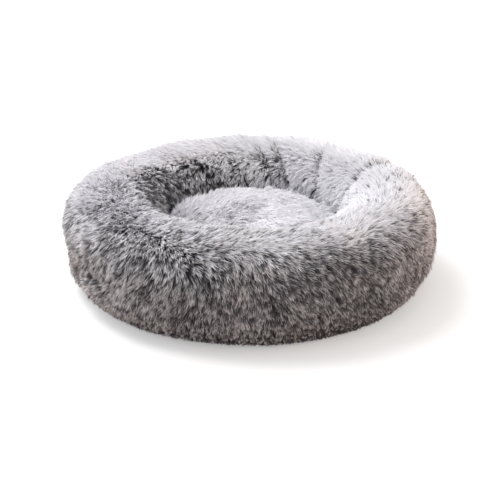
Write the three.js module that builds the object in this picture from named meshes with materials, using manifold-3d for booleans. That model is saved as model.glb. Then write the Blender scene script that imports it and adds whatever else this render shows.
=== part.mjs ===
// A round cat cushion: a plush ring stuffed with fibre round a raised plush pad, on a base cloth with
// grip dots, closed underneath by a zip that runs round the back.
// Millimetres, +Z up. The origin is on the floor under the middle, and the front faces -Y.
import * as THREE from "three";
import { mergeVertices } from "three/addons/utils/BufferGeometryUtils.js";
import Module from "manifold-3d";

const wasm = await Module();
wasm.setup();

// Driving dimensions of the ring, to the tips of its pile
const bedRadius = 300;
const ringHalfWidth = 80.5;
const ringHalfHeight = 84;
const ringRoundness = 2.7; // 2 is an ellipse, and more is squarer

// Cloths and gaps
const pile = 16;
const backing = 2.5;
const clothGap = 0.5;
const linerCloth = 0.8;
const baseThickness = 0.8;

// The pad in the middle
const padCrown = 125; // height of its highest point
const padRoundness = 5;
const padDrawIn = 5; // how far the side pulls in at the seam
const padFootReach = 20; // how far the fibre swells out under the seam
const seamHeight = 48; // where ring and pad are sewn together
const seamTapeWidth = 30;
const seamTapeThickness = 3;

// Grip dots under the base
const dotHeight = 1;
const dotRadius = 3;
const dotTipShare = 0.7;
const dotPitch = 45;
const dotMargin = 8;
const dotSides = 6;

// The zip lies on a cone where the underside starts to rise. Angles are in degrees round the bed.
const zipFromRingMiddle = 35.5;
const zipHeight = 10.5;
const zipSlope = 26.6;
const zipMiddleAngle = 90;
const zipHalfTurn = 78;
const zipCloseTurn = 6; // the two edges meet again over this angle
const sliderAtAngle = 20.5;
const sliderTravelAngle = 139;
const edgeFromZip = 6.5;
const edgeMeeting = 0.25;
const edgeLap = 7;
const tapeThickness = 0.6;
const tapeReach = 12;
const lapGap = 0.4;
const linerAboveZip = 4.6;

// Zip teeth, stops, slider and pull
const channelHalf = 0.85;
const teethWidth = 1.75;
const teethThickness = 2;
const partGap = 0.3;
const runGap = 0.35;
const stopLength = 2;
const endStopLength = 4;
const sliderLength = 11;
const sliderMouthWidth = 10.4;
const sliderTailWidth = 8.8;
const sliderPlate = 1.1;
const sliderFlange = 1.3;
const sliderPostWidth = 1;
const sliderPostLength = 2.5;
const sliderEndGap = 0.6;
const bailLength = 7.4;
const bailWidth = 1.5;
const bailBar = 0.8;
const bailFoot = 0.9;
const pullThickness = 1.2;
const pullWidth = 6;
const pullLength = 22;
const pullBar = 1.2;
const pullSideGap = 0.45;
const pullWindow = 5.2;
const pullHole = 1.1;
const gripFromEnd = 5;

// The care label, blank, on the underside
const labelMiddleAngle = 195;
const labelTurn = 7;
const labelFromSeam = 6.5;
const labelOnFlat = 24;
const labelThickness = 0.4;

// Seam binding inside the part of the edge that has no zip
const bindingReach = 8;
const bindingThickness = 0.6;
const bindingEndAngle = 0.3;

// Folds where the plush is gathered to the inner seam: [degrees round the bed, share of the deepest]
const foldReach = 12; // degrees to each side
const foldDeepest = 9;
const foldShares = [
  [30, 1],
  [45, 0.8],
  [67.5, 0.7],
  [112.5, 0.45],
  [150, 0.8],
  [202.5, 0.45],
];

// How finely round pieces are cut
const turnStep = 7.5;
const zipStep = 3.75;

const ringMiddle = bedRadius - ringHalfWidth;
const coverThickness = pile + backing;
const baseTop = dotHeight + baseThickness;
const linerBaseTop = baseTop + lapGap + linerCloth;
const linerFloor = linerBaseTop + lapGap;
const coverFloor = linerFloor - clothGap;
const zipRadius = ringMiddle + zipFromRingMiddle;
const radians = THREE.MathUtils.degToRad;
const slopeCos = Math.cos(radians(zipSlope));
const slopeSin = Math.sin(radians(zipSlope));
const degreesOf = (length) => THREE.MathUtils.radToDeg(length / zipRadius);

const fabric = (color, roughness = 0.95) =>
  new THREE.MeshStandardMaterial({ color, roughness, metalness: 0 });
const plush = fabric(0xb4b0b5);
const linerWhite = fabric(0xe6e6e2);
const fibre = fabric(0xf2f2ee);
const oxford = fabric(0x55565c, 0.85);
const webbing = fabric(0x6b6c72, 0.85);
const satin = fabric(0xececea, 0.6);
const nylon = fabric(0x5d5e64, 0.45);
const zinc = new THREE.MeshStandardMaterial({
  color: 0x9a9ba0,
  roughness: 0.35,
  metalness: 0.9,
});

const bed = new THREE.Group();
function addPiece(name, geometry, material, holder = bed) {
  const mesh = new THREE.Mesh(geometry, material);
  mesh.name = name;
  holder.add(mesh);
}

// Drops doubled points and the faces that lost their width with them.
function closed(positions, faces) {
  const raw = new THREE.BufferGeometry();
  raw.setAttribute("position", new THREE.Float32BufferAttribute(positions, 3));
  raw.setIndex(faces);
  const merged = mergeVertices(raw);
  const kept = [];
  const index = merged.index.array;
  for (let i = 0; i < index.length; i += 3) {
    const [a, b, c] = index.slice(i, i + 3);
    if (a !== b && b !== c && c !== a) kept.push(a, b, c);
  }
  merged.setIndex(kept);
  return merged;
}

// Carries an outline of [radius, height] points, anticlockwise, round the vertical axis.
// The outline may change with the angle. A sweep that isn't a full turn gets flat ends.
function sweptRound(outlineAt, from = 0, turn = 360, step = turnStep) {
  const steps = Math.max(1, Math.round(turn / step));
  const whole = turn === 360;
  const rings = whole ? steps : steps + 1;
  const positions = [];
  const faces = [];
  let count = 0;
  for (let j = 0; j < rings; j += 1) {
    const degrees = from + (turn * j) / steps;
    const outline = outlineAt(((degrees % 360) + 360) % 360);
    count = outline.length;
    for (const [r, z] of outline) {
      positions.push(r * Math.cos(radians(degrees)), r * Math.sin(radians(degrees)), z);
    }
  }
  for (let j = 0; j < steps; j += 1) {
    const here = j * count;
    const next = ((j + 1) % rings) * count;
    for (let i = 0; i < count; i += 1) {
      const after = (i + 1) % count;
      faces.push(here + i, next + i, next + after, here + i, next + after, here + after);
    }
  }
  if (!whole) {
    const outline = outlineAt(((from % 360) + 360) % 360).map(([r, z]) => new THREE.Vector2(r, z));
    for (const [a, b, c] of THREE.ShapeUtils.triangulateShape(outline, [])) {
      const last = (rings - 1) * count;
      faces.push(a, b, c, last + a, last + c, last + b);
    }
  }
  return closed(positions, faces);
}

function solidOf(geometry) {
  const bare = geometry.index ? geometry.toNonIndexed() : geometry.clone();
  bare.deleteAttribute("normal");
  bare.deleteAttribute("uv");
  const merged = mergeVertices(bare);
  return new wasm.Manifold(
    new wasm.Mesh({
      numProp: 3,
      vertProperties: merged.attributes.position.array,
      triVerts: new Uint32Array(merged.index.array),
    }),
  );
}

function geometryOf(solid) {
  const { vertProperties, triVerts } = solid.getMesh();
  const geometry = new THREE.BufferGeometry();
  geometry.setAttribute("position", new THREE.BufferAttribute(vertProperties, 3));
  geometry.setIndex(new THREE.BufferAttribute(triVerts, 1));
  return geometry;
}

const joined = (geometries) =>
  geometryOf(geometries.map(solidOf).reduce((all, one) => all.add(one)));

// A power curve's share: a cosine or sine bent so that the section is squarer than an ellipse.
const bent = (value, roundness) => Math.sign(value) * Math.abs(value) ** (2 / roundness);

// A point of the ring's section. along is in degrees: 0 outside, 90 on the crest, 180 on the inner wall.
// inset is how far it lies inside the pile's tips, and floor is the height of its lowest point.
function ringPoint(along, inset, floor) {
  const across = bent(Math.cos(radians(along)), ringRoundness);
  const up = bent(Math.sin(radians(along)), ringRoundness);
  const tall = up > 0 ? ringHalfHeight - inset : ringHalfHeight - floor;
  return [ringMiddle + (ringHalfWidth - inset) * across, ringHalfHeight + tall * up];
}

// The angle along the section at which the pile's tips are at a height below the middle.
function alongAtHeight(height) {
  const share = (ringHalfHeight - height) / ringHalfHeight;
  return THREE.MathUtils.radToDeg(Math.asin(share ** (ringRoundness / 2)));
}

const innerSeamAlong = 180 + alongAtHeight(seamHeight);

const spaced = (from, to, count) =>
  Array.from({ length: count }, (_, i) => from + ((to - from) * i) / (count - 1));

// The angle between two directions round the bed, whichever way is shorter
const turnBetween = (a, b) => Math.abs(((a - b + 540) % 360) - 180);

// How deep the folds are at an angle round the bed. They are deepest on the upper inner wall, and fade
// out over the ring's outside and towards the seam.
function foldDepth(degrees, along) {
  const inward = Math.max(0, along) / innerSeamAlong;
  let share = 0;
  for (const [at, deepShare] of foldShares) {
    const apart = turnBetween(degrees, at);
    if (apart < foldReach) share += (deepShare * (1 + Math.cos((Math.PI * apart) / foldReach))) / 2;
  }
  return foldDeepest * share * Math.sin(Math.PI * inward ** 1.5);
}

// A point near the zip: out is along the cone, away from the middle, and down is square to it.
const zipPoint = (out, down) => [
  zipRadius + out * slopeCos + down * slopeSin,
  zipHeight + out * slopeSin - down * slopeCos,
];

// The height, at a radius, of a line that runs a little inside the zip.
const heightOverZip = (r, lift) =>
  zipHeight + ((r - zipRadius) * slopeSin) / slopeCos + lift / slopeCos;

// How far each cloth edge stays from the zip's middle: open along the zip, and met beyond its ends.
function edgeOut(degrees) {
  const beyond = turnBetween(degrees, zipMiddleAngle) - zipHalfTurn;
  const share = THREE.MathUtils.clamp(beyond / zipCloseTurn, 0, 1);
  return edgeFromZip + (edgeMeeting - edgeFromZip) * share;
}

// The ring's plush: its outside is the tips of the pile and its inside the knitted back. It is open
// underneath, where its lower edge turns in along the zip.
const clothFace = tapeThickness / 2 + lapGap;

// Every layer under the pile has its corners at the same angles along the section, so that the layers
// stay parallel: overLayers from the outside over the crest to the inner seam, and underLayers beneath.
const layersFrom = -35;
const overLayers = spaced(layersFrom, innerSeamAlong, 7);
const underLayers = spaced(innerSeamAlong, layersFrom + 360, 6).slice(1, -1);
const layerPoints = (alongs, inset, floor) => alongs.map((along) => ringPoint(along, inset, floor));

function ringCoverOutline(degrees) {
  const edge = edgeOut(degrees);
  const [edgeRadius] = zipPoint(edge + backing, 0);
  const lowest = -THREE.MathUtils.radToDeg(
    Math.acos(((edgeRadius - ringMiddle) / ringHalfWidth) ** (ringRoundness / 2)),
  );
  const tips = [...spaced(lowest, 0, 4), ...spaced(0, innerSeamAlong, 8).slice(1)];
  return [
    ...tips.map((along) => ringPoint(along, foldDepth(degrees, along), 0)),
    ...layerPoints(overLayers, coverThickness, coverFloor).reverse(),
    zipPoint(edgeFromZip + edgeLap, clothFace),
    zipPoint(edge, clothFace),
    zipPoint(edge, clothFace + backing),
  ];
}
addPiece("ring_cover", sweptRound(ringCoverOutline), plush);

// The ring's inner bag is open underneath, where the bag's base is sewn to it, and full of fibre.
// Both stay clear of the zip slider. depth is how far a surface lies inside the bag's outside.
const linerInset = coverThickness + clothGap;
function bagPoints(alongs, depth) {
  const points = layerPoints(alongs, linerInset + depth, linerFloor + depth);
  return points.map(([r, z]) => [r, Math.max(z, heightOverZip(r, linerAboveZip + depth))]);
}
const bagSplit = underLayers.length / 2;
const bagAlongs = [
  ...underLayers.slice(bagSplit).map((along) => along - 360),
  ...overLayers,
  ...underLayers.slice(0, bagSplit),
];
const ringLinerOutline = () => [...bagPoints(bagAlongs, 0), ...bagPoints(bagAlongs, linerCloth).reverse()];
addPiece("ring_liner", sweptRound(ringLinerOutline), linerWhite);

const ringFillOutline = () => bagPoints(bagAlongs, linerCloth + clothGap);
addPiece("ring_fibre", sweptRound(ringFillOutline), fibre);

// The pad's dome. inset is how far a surface lies inside the tips of its pile.
const padRadius = bedRadius - 2 * ringHalfWidth - clothGap;
const padRise = padCrown - ringHalfHeight;
function padPoint(along, inset) {
  const across = bent(Math.cos(radians(along)), padRoundness);
  const up = bent(Math.sin(radians(along)), padRoundness);
  return [Math.max(0, (padRadius - inset) * across), ringHalfHeight + (padRise - inset) * up];
}
const padDome = (inset, count) => spaced(0, 90, count).map((along) => padPoint(along, inset));
const padSeam = (inset) => [padRadius - padDrawIn - inset, seamHeight];

const padCoverOutline = () => [
  padSeam(0),
  ...padDome(0, 8),
  ...padDome(coverThickness, 6).reverse(),
  padSeam(coverThickness),
];
addPiece("pad_cover", sweptRound(padCoverOutline), plush);

const padLinerInset = coverThickness + clothGap;
const padLinerOutline = () => [
  padSeam(padLinerInset),
  ...padDome(padLinerInset, 6),
  ...padDome(padLinerInset + linerCloth, 6).reverse(),
  padSeam(padLinerInset + linerCloth),
];
addPiece("pad_liner", sweptRound(padLinerOutline), linerWhite);

// The tape that both covers are sewn to, under the crease between ring and pad
const seamTapeMiddle = padRadius + clothGap / 2;
const seamTapeTop = seamHeight - lapGap;
const seamTapeBottom = seamTapeTop - seamTapeThickness;
const padFillInset = padLinerInset + linerCloth + clothGap;
const padFootTop = seamTapeBottom - clothGap;
const padFillOutline = () => [
  [0, linerFloor],
  [padRadius + padFootReach, linerFloor],
  [padRadius + padFootReach, padFootTop - padFootReach],
  [padRadius, padFootTop],
  [padRadius - padDrawIn - padFillInset, padFootTop],
  ...padDome(padFillInset, 6),
];
addPiece("pad_fibre", sweptRound(padFillOutline), fibre);

const seamTapeOutline = () => [
  [seamTapeMiddle - seamTapeWidth / 2, seamTapeBottom],
  [seamTapeMiddle + seamTapeWidth / 2, seamTapeBottom],
  [seamTapeMiddle + seamTapeWidth / 2, seamTapeTop],
  [seamTapeMiddle - seamTapeWidth / 2, seamTapeTop],
];
addPiece("inner_seam_tape", sweptRound(seamTapeOutline), webbing);

// The inner bag's bottom
const linerBaseRadius = zipRadius - (linerAboveZip + zipHeight - linerBaseTop) / (slopeSin / slopeCos);
const linerBaseOutline = () => [
  [0, linerBaseTop - linerCloth],
  [linerBaseRadius, linerBaseTop - linerCloth],
  [linerBaseRadius, linerBaseTop],
  [0, linerBaseTop],
];
addPiece("liner_base", sweptRound(linerBaseOutline), linerWhite);

// The base cloth lies flat, then rises along the cone to its edge beside the zip. The grip dots are
// moulded onto its underside, in rings round one dot in the middle.
const coneRadiusAt = (height, down) =>
  zipRadius + down / slopeSin - ((zipHeight - height) * slopeCos) / slopeSin;
const clothLower = clothFace + baseThickness;
const baseFlatRadius = coneRadiusAt(dotHeight, clothLower);
const labelEnd = baseFlatRadius - labelOnFlat;
function baseClothOutline(degrees) {
  const edge = -edgeOut(degrees);
  return [
    [0, dotHeight],
    [baseFlatRadius, dotHeight],
    zipPoint(edge, clothLower),
    zipPoint(edge, clothFace),
    [coneRadiusAt(baseTop, clothFace), baseTop],
    [0, baseTop],
  ];
}
function underLabel(r, degrees) {
  const aside = r * radians(turnBetween(degrees, labelMiddleAngle) - labelTurn / 2);
  return r > labelEnd - dotRadius - clothGap && aside < dotRadius + clothGap;
}
function gripDots() {
  const dots = [];
  const tall = dotHeight + baseThickness / 2;
  const rings = Math.floor((baseFlatRadius - dotMargin) / dotPitch);
  for (let ring = 0; ring <= rings; ring += 1) {
    const around = Math.max(1, 6 * ring);
    const r = ring * dotPitch;
    for (let i = 0; i < around; i += 1) {
      const degrees = (360 * i) / around;
      if (underLabel(r, degrees)) continue;
      const dot = new THREE.CylinderGeometry(dotRadius, dotRadius * dotTipShare, tall, dotSides);
      dot.rotateX(Math.PI / 2);
      dot.translate(r * Math.cos(radians(degrees)), r * Math.sin(radians(degrees)), tall / 2);
      dots.push(dot);
    }
  }
  return dots;
}
addPiece("base_cloth", joined([sweptRound(baseClothOutline), ...gripDots()]), oxford);

// Binding over the seam allowances, inside, where base and plush are sewn together without a zip
const strip = (inner, outer, top, bottom) => () => [
  zipPoint(inner, bottom),
  zipPoint(outer, bottom),
  zipPoint(outer, top),
  zipPoint(inner, top),
];
const tapeHalfTurn = zipHalfTurn + zipCloseTurn;
const bindingFrom = zipMiddleAngle + tapeHalfTurn + bindingEndAngle;
const bindingTurn = 360 - 2 * (tapeHalfTurn + bindingEndAngle);
addPiece(
  "edge_binding",
  sweptRound(
    strip(-bindingReach, bindingReach, -bindingThickness / 2, bindingThickness / 2),
    bindingFrom,
    bindingTurn,
  ),
  webbing,
);

// The zip's two tapes and two rows of teeth. A channel runs between the rows for the slider's post.
const teethOuter = channelHalf + teethWidth;
const tapeInner = teethOuter + partGap;
const stopsEnd = sliderAtAngle - degreesOf(sliderLength / 2 + sliderEndGap);
const stopsStart = stopsEnd - degreesOf(stopLength);
const teethFrom = stopsEnd + degreesOf(partGap);
const teethTo = sliderAtAngle + sliderTravelAngle + degreesOf(sliderLength / 2 + sliderEndGap);
const tapeFrom = zipMiddleAngle - tapeHalfTurn;
const tapeTurn = 2 * tapeHalfTurn;
for (const [side, sign] of [["base", -1], ["plush", 1]]) {
  const row = (near, far, thickness) =>
    sign > 0
      ? strip(near, far, -thickness / 2, thickness / 2)
      : strip(-far, -near, -thickness / 2, thickness / 2);
  addPiece(
    `zip_tape_${side}_side`,
    sweptRound(row(tapeInner, tapeReach, tapeThickness), tapeFrom, tapeTurn, zipStep),
    webbing,
  );
  const teeth = row(channelHalf, teethOuter, teethThickness);
  addPiece(
    `zip_teeth_${side}_side`,
    sweptRound(teeth, teethFrom, teethTo - teethFrom, zipStep),
    nylon,
  );
  addPiece(
    `zip_top_stop_${side}_side`,
    sweptRound(teeth, stopsStart, stopsEnd - stopsStart, zipStep),
    zinc,
  );
}
addPiece(
  "zip_bottom_stop",
  sweptRound(
    strip(-teethOuter, teethOuter, -teethThickness / 2, teethThickness / 2),
    teethTo + degreesOf(partGap),
    degreesOf(endStopLength),
    zipStep,
  ),
  zinc,
);

// The slider and its pull are built lying on the cone: X runs round the bed, Y out and up, Z down.
const sliderPlace = new THREE.Group();
const turn = radians(sliderAtAngle);
const roundBed = new THREE.Vector3(-Math.sin(turn), Math.cos(turn), 0);
const outCone = new THREE.Vector3(Math.cos(turn) * slopeCos, Math.sin(turn) * slopeCos, slopeSin);
const basis = new THREE.Matrix4().makeBasis(roundBed, outCone, roundBed.clone().cross(outCone));
basis.setPosition(zipRadius * Math.cos(turn), zipRadius * Math.sin(turn), zipHeight);
sliderPlace.applyMatrix4(basis);
bed.add(sliderPlace);

const boxBetween = (x0, x1, y0, y1, z0, z1) =>
  new THREE.BoxGeometry(x1 - x0, y1 - y0, z1 - z0).translate((x0 + x1) / 2, (y0 + y1) / 2, (z0 + z1) / 2);

const plateInner = teethThickness / 2 + runGap;
const plateOuter = plateInner + sliderPlate;
const crossbarAt = plateOuter + clothGap + pullBar / 2;
function sliderPlateOutline() {
  const mouth = sliderMouthWidth / 2;
  const tail = sliderTailWidth / 2;
  const half = sliderLength / 2;
  const corner = sliderPlate;
  const outline = new THREE.Shape();
  outline.moveTo(-half, -mouth + corner);
  outline.lineTo(-half + corner, -mouth);
  outline.lineTo(half / 2, -tail);
  outline.lineTo(half, -tail + corner);
  outline.lineTo(half, tail - corner);
  outline.lineTo(half / 2, tail);
  outline.lineTo(-half + corner, mouth);
  outline.lineTo(-half, mouth - corner);
  return outline;
}
function sliderBody() {
  const plate = (at) => {
    const flat = new THREE.ExtrudeGeometry(sliderPlateOutline(), { depth: sliderPlate, bevelEnabled: false });
    return flat.translate(0, 0, at);
  };
  const half = sliderLength / 2;
  const tapeSlot = tapeThickness / 2 + lapGap;
  const flangeInner = teethOuter + clothGap;
  const flanges = [];
  for (const side of [-1, 1]) {
    for (const face of [-1, 1]) {
      const ys = [side * flangeInner, side * (flangeInner + sliderFlange)].sort((a, b) => a - b);
      const zs = [face * tapeSlot, face * (plateInner + sliderPlate / 2)].sort((a, b) => a - b);
      flanges.push(boxBetween(-half + sliderPlate, half - sliderPlate, ...ys, ...zs));
    }
  }
  const postReach = plateInner + sliderPlate / 2;
  const postHalf = sliderPostWidth / 2;
  const postStart = -half + sliderPlate;
  const bailTop = crossbarAt + pullBar / 2 + clothGap + bailBar;
  const bailHalf = bailLength / 2;
  const foot = plateOuter - sliderPlate / 2;
  const arch = new THREE.Shape();
  arch.moveTo(-bailHalf, foot);
  arch.lineTo(-bailHalf, bailTop - bailBar);
  arch.lineTo(-bailHalf + bailBar, bailTop);
  arch.lineTo(bailHalf - bailBar, bailTop);
  arch.lineTo(bailHalf, bailTop - bailBar);
  arch.lineTo(bailHalf, foot);
  arch.lineTo(bailHalf - bailFoot, foot);
  arch.lineTo(bailHalf - bailFoot, bailTop - bailBar);
  arch.lineTo(-bailHalf + bailFoot, bailTop - bailBar);
  arch.lineTo(-bailHalf + bailFoot, foot);
  const bail = new THREE.ExtrudeGeometry(arch, { depth: bailWidth, bevelEnabled: false });
  bail.rotateX(Math.PI / 2);
  bail.translate(0, bailWidth / 2, 0);
  return joined([
    plate(plateInner),
    plate(-plateOuter),
    boxBetween(postStart, postStart + sliderPostLength, -postHalf, postHalf, -postReach, postReach),
    ...flanges,
    bail,
  ]);
}
addPiece("zip_slider", sliderBody(), zinc, sliderPlace);

// The pull: a crossbar under the slider's bail, a window round the bail, and a tab with a hole
function pullTab() {
  const windowHalf = bailWidth / 2 + pullSideGap;
  const half = pullWidth / 2;
  const neck = windowHalf + pullBar;
  const tab = new THREE.Shape();
  tab.moveTo(-pullBar / 2, -neck);
  tab.lineTo(pullWindow, -neck);
  tab.lineTo(pullWindow + pullBar, -half);
  tab.lineTo(pullLength - half, -half);
  tab.absarc(pullLength - half, 0, half, -Math.PI / 2, Math.PI / 2, false);
  tab.lineTo(pullWindow + pullBar, half);
  tab.lineTo(pullWindow, neck);
  tab.lineTo(-pullBar / 2, neck);
  const opening = new THREE.Path();
  opening.moveTo(pullBar / 2, -windowHalf);
  opening.lineTo(pullBar / 2, windowHalf);
  opening.lineTo(pullWindow, windowHalf);
  opening.lineTo(pullWindow, -windowHalf);
  tab.holes.push(opening);
  const hole = new THREE.Path();
  hole.absarc(pullLength - gripFromEnd, 0, pullHole, 0, 2 * Math.PI, true);
  tab.holes.push(hole);
  const cut = { depth: pullThickness, bevelEnabled: false, curveSegments: 6 };
  const solid = new THREE.ExtrudeGeometry(tab, cut);
  return solid.translate(0, 0, crossbarAt - pullThickness / 2);
}
addPiece("zip_pull", pullTab(), zinc, sliderPlace);

// The blank care label hangs from the base seam and lies flat under the base, between two grip dots.
const labelGap = clothLower + lapGap;
const labelHeight = dotHeight - lapGap;
const labelBottom = labelHeight - labelThickness;
const labelOutline = () => [
  [labelEnd, labelBottom],
  [coneRadiusAt(labelBottom, labelGap + labelThickness), labelBottom],
  zipPoint(-labelFromSeam, labelGap + labelThickness),
  zipPoint(-labelFromSeam, labelGap),
  [coneRadiusAt(labelHeight, labelGap), labelHeight],
  [labelEnd, labelHeight],
];
addPiece(
  "care_label",
  sweptRound(labelOutline, labelMiddleAngle - labelTurn / 2, labelTurn, zipStep),
  satin,
);

export default bed;
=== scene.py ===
"""A round cat cushion of long frosted plush: a stuffed ring round a raised pad, sewn to a base cloth that a
zip closes underneath. Everything is in metres, +Z up, and the front faces -Y."""

import math
from functools import partial

import bmesh
import bpy
import numpy as np
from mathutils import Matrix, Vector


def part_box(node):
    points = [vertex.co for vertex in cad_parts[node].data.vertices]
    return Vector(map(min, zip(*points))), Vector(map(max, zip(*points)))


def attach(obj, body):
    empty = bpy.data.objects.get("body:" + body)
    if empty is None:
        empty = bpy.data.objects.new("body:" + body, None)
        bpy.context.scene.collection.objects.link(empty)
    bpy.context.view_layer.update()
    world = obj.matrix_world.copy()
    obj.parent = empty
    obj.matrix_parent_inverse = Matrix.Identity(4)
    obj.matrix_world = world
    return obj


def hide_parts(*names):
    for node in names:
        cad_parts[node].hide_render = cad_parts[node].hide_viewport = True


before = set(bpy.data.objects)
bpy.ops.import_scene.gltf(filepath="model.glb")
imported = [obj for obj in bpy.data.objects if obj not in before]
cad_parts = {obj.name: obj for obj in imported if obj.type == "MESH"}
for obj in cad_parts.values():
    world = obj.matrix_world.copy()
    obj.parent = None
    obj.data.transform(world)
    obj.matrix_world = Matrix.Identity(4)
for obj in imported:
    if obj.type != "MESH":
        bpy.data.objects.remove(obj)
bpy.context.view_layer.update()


# The camera: a long lens some two metres off, a little above the bed, as for a shop's picture. The
# bed's middle lies just above the middle of the frame.
camera_distance = 2.2
camera_elevation = math.radians(21.4)
camera_lens = 97.5  # millimetres, on a sensor 36 mm wide
aim_height = 0.084
middle_row = 229
frame_size = 500


def given(thing, **settings):
    """The same thing, with its settings set by name."""
    for setting, value in settings.items():
        setattr(thing, setting, value)
    return thing


def placed(name, data, **settings):
    """A new object of the scene, with its settings."""
    thing = given(bpy.data.objects.new(name, data), **settings)
    bpy.context.collection.objects.link(thing)
    return thing


camera_back = camera_distance * math.cos(camera_elevation)
camera_height = aim_height + camera_distance * math.sin(camera_elevation)
shift = (middle_row - frame_size / 2) / frame_size
bpy.context.scene.camera = placed(
    "camera",
    given(bpy.data.cameras.new("camera"), lens=camera_lens, shift_y=shift),
    location=(0, -camera_back, camera_height),
    rotation_euler=(math.pi / 2 - camera_elevation, 0, 0),
)


# The floor: a pale floor that runs out of sight. The camera sees it nearly white, with the bed's shadow
# on it, and the light that it throws up at the bed is warmer and weaker.
white = (1, 1, 1)
floor_reach = 8
floor_seen_colour = (0.86, 0.86, 0.86)
floor_bounce_colour = (0.37, 0.27, 0.21)
floor_roughness = 0.95
floor_glow = 0.36
far_floor_glow = 0.4  # added where the lamps don't reach, between one distance and another
lit_floor_reach = 0.8
dim_floor_start = 2.2


def mesh_piece(name, points, quads=None, triangles=None, smooth=True):
    """A mesh object from an array of points and the corners of its four- and three-sided faces."""
    kinds = [faces for faces in (quads, triangles) if faces is not None and len(faces)]
    corners = np.concatenate([faces.ravel() for faces in kinds]).astype(np.int32)
    sides = np.concatenate([np.full(len(faces), faces.shape[1]) for faces in kinds])
    mesh = bpy.data.meshes.new(name)
    mesh.vertices.add(len(points))
    mesh.vertices.foreach_set("co", np.asarray(points, np.float32).ravel())
    mesh.loops.add(len(corners))
    mesh.loops.foreach_set("vertex_index", corners)
    mesh.polygons.add(len(sides))
    mesh.polygons.foreach_set("loop_start", (np.cumsum(sides) - sides).astype(np.int32))
    mesh.polygons.foreach_set("use_smooth", np.full(len(sides), smooth))
    mesh.update(calc_edges=True)
    return placed(name, mesh)


def wired(tree, node, *values, **sockets):
    """Gives each socket of a node, in order or by name, a plain value or the output of another node."""
    named = [(node.inputs[name.replace("_", " ")], value) for name, value in sockets.items()]
    for socket, value in [*zip(node.inputs, values), *named]:
        if isinstance(value, bpy.types.NodeSocket):
            tree.links.new(value, socket)
        else:
            socket.default_value = value
    return node


def new_node(tree, kind, *values, **sockets):
    """A new node of a kind, with its sockets filled in."""
    return wired(tree, tree.nodes.new(f"ShaderNode{kind}"), *values, **sockets)


def worked_out(tree, operation, *values):
    """The output of a math node. Each value is a number or the output of another node."""
    return given(new_node(tree, "Math", *values), operation=operation).outputs[0]


def object_place(tree):
    """The output of a node that gives a place in the bed's own metres."""
    return new_node(tree, "TexCoord").outputs["Object"]


def from_middle(tree):
    """The output of a node that gives a place's distance from the bed's axis: the length of its X and Y."""
    flat = given(new_node(tree, "VectorMath", object_place(tree), (1, 1, 0)), operation="MULTIPLY")
    return given(new_node(tree, "VectorMath", flat.outputs[0]), operation="LENGTH").outputs["Value"]


def seen_directly(tree):
    """The output of a node that is 1 for rays from the camera and for reflections, and otherwise 0."""
    ray = new_node(tree, "LightPath").outputs
    return worked_out(tree, "MAXIMUM", ray["Is Camera Ray"], ray["Is Glossy Ray"])


def mixed_colour(tree, share, *colours):
    """The output of a node that mixes two colours by a share."""
    mix = given(new_node(tree, "Mix", share), data_type="RGBA")
    sockets = [socket for socket in mix.inputs if socket.type == "RGBA"]
    for socket, colour in zip(sockets, colours):
        socket.default_value = (*colour, 1)
    return [socket for socket in mix.outputs if socket.type == "RGBA"][0]


def new_material(name, colour=(0.8, 0.8, 0.8), roughness=0.8, **sockets):
    """A material, its nodes and its shader, with the shader's plain values set on its own sockets."""
    material = given(bpy.data.materials.new(name), use_nodes=True)
    tree = material.node_tree
    shader = tree.nodes["Principled BSDF"]
    wired(tree, shader, Base_Color=(*colour, 1), Roughness=roughness, **sockets)
    return material, tree, shader


floor = mesh_piece(
    "floor",
    floor_reach * np.array([[-1, -1, 0], [1, -1, 0], [1, 1, 0], [-1, 1, 0]]),
    quads=np.array([[0, 1, 2, 3]]),
)
floor_material, tree, shader = new_material("pale_floor", roughness=floor_roughness)
seen = seen_directly(tree)
far = new_node(tree, "MapRange", from_middle(tree), From_Min=lit_floor_reach, From_Max=dim_floor_start)
glow = worked_out(tree, "MULTIPLY_ADD", far.outputs[0], far_floor_glow, floor_glow)
wired(
    tree,
    shader,
    Base_Color=mixed_colour(tree, seen, floor_bounce_colour, floor_seen_colour),
    Emission_Color=(*white, 1),
    Emission_Strength=worked_out(tree, "MULTIPLY", seen, glow),
)
floor.data.materials.append(floor_material)


# The room: an even, dim light from all round, and white where the camera looks past the floor. A large
# window high on the left and behind gives the light its side, and the walls send some of it back.
room_light = (0.58, 0.58, 0.59)
lamp_aim_height = 0.08

room = given(bpy.data.worlds.new("room"), use_nodes=True)
bpy.context.scene.world = room
tree = room.node_tree
room_colour = mixed_colour(tree, seen_directly(tree), room_light, white)
wired(tree, tree.nodes["Background"], Color=room_colour)
bpy.context.scene.view_settings.view_transform = "Standard"


def soft_lamp(name, place, size, power, colour=white):
    """A square lamp at a place, turned towards the bed: up by the slope to it, and round by its bearing."""
    lamp = given(bpy.data.lights.new(name, "AREA"), size=size, energy=power, color=colour)
    x, y, z = np.array([0, 0, lamp_aim_height]) - np.array(place)
    turn = (math.pi / 2 + math.atan2(z, math.hypot(x, y)), 0, math.atan2(-x, y))
    placed(name, lamp, location=place, rotation_euler=turn)


soft_lamp("window", (-1.0, 0.6, 2.1), size=1.5, power=42)
soft_lamp("left_backdrop", (-1.9, 0.5, 0.6), size=1.2, power=10)
soft_lamp("warm_wall", (1.95, -0.6, 0.4), size=1.2, power=17, colour=(1, 0.74, 0.55))


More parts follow.
